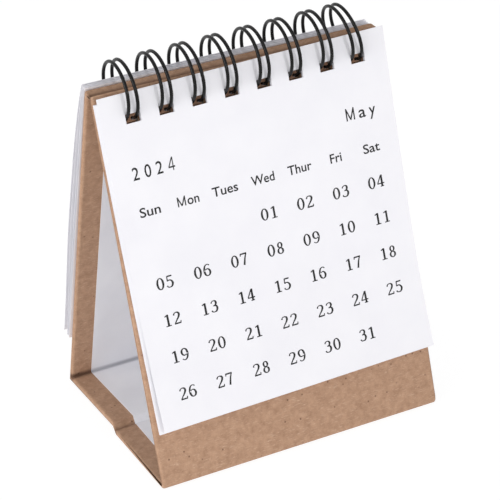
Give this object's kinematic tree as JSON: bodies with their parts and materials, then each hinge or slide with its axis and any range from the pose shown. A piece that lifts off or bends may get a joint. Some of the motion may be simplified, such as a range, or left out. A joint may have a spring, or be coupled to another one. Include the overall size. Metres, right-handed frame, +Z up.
{
  "type": "desk calendar",
  "caption": "Small desk calendar: a folded kraft card tent with a twin-loop wire along its ridge, month leaves in front and turned leaves behind.",
  "frame": {"origin": "on the table, under the middle of the stand", "axes": "+X along the ridge to the right, +Y to the back, +Z up"},
  "size_m": [0.0777, 0.0583, 0.1002],
  "materials": {
    "kraft_paper": "uncoated brown kraft, matt with fine fibres",
    "greyboard": "bare greyboard",
    "white_lining": "smooth white, matt",
    "black_wire": "glossy black coated wire",
    "leaf_paper": "smooth white, matt"
  },
  "bodies": {
    "stand": {"kraft_cover": "kraft_paper", "front_board": "greyboard", "back_board": "greyboard", "base_front_board": "greyboard", "base_rear_board": "greyboard", "lining_paper": "white_lining", "binding_wire": "black_wire"},
    "front_leaves": {"front_leaves": "leaf_paper"},
    "turned_leaves": {"turned_leaves": "leaf_paper"}
  },
  "joints": [
    {"name": "front_leaves_turn", "type": "hinge", "parent": "stand", "child": "front_leaves", "pos_m": [0, 0, 0.0922], "axis": [0.9998, 0, 0.0185], "range_deg": [-90, 0]},
    {"name": "turned_leaves_turn", "type": "hinge", "parent": "stand", "child": "turned_leaves", "pos_m": [0, 0, 0.0922], "axis": [0.9998, 0, 0.0185], "range_deg": [0, 40]}
  ]
}
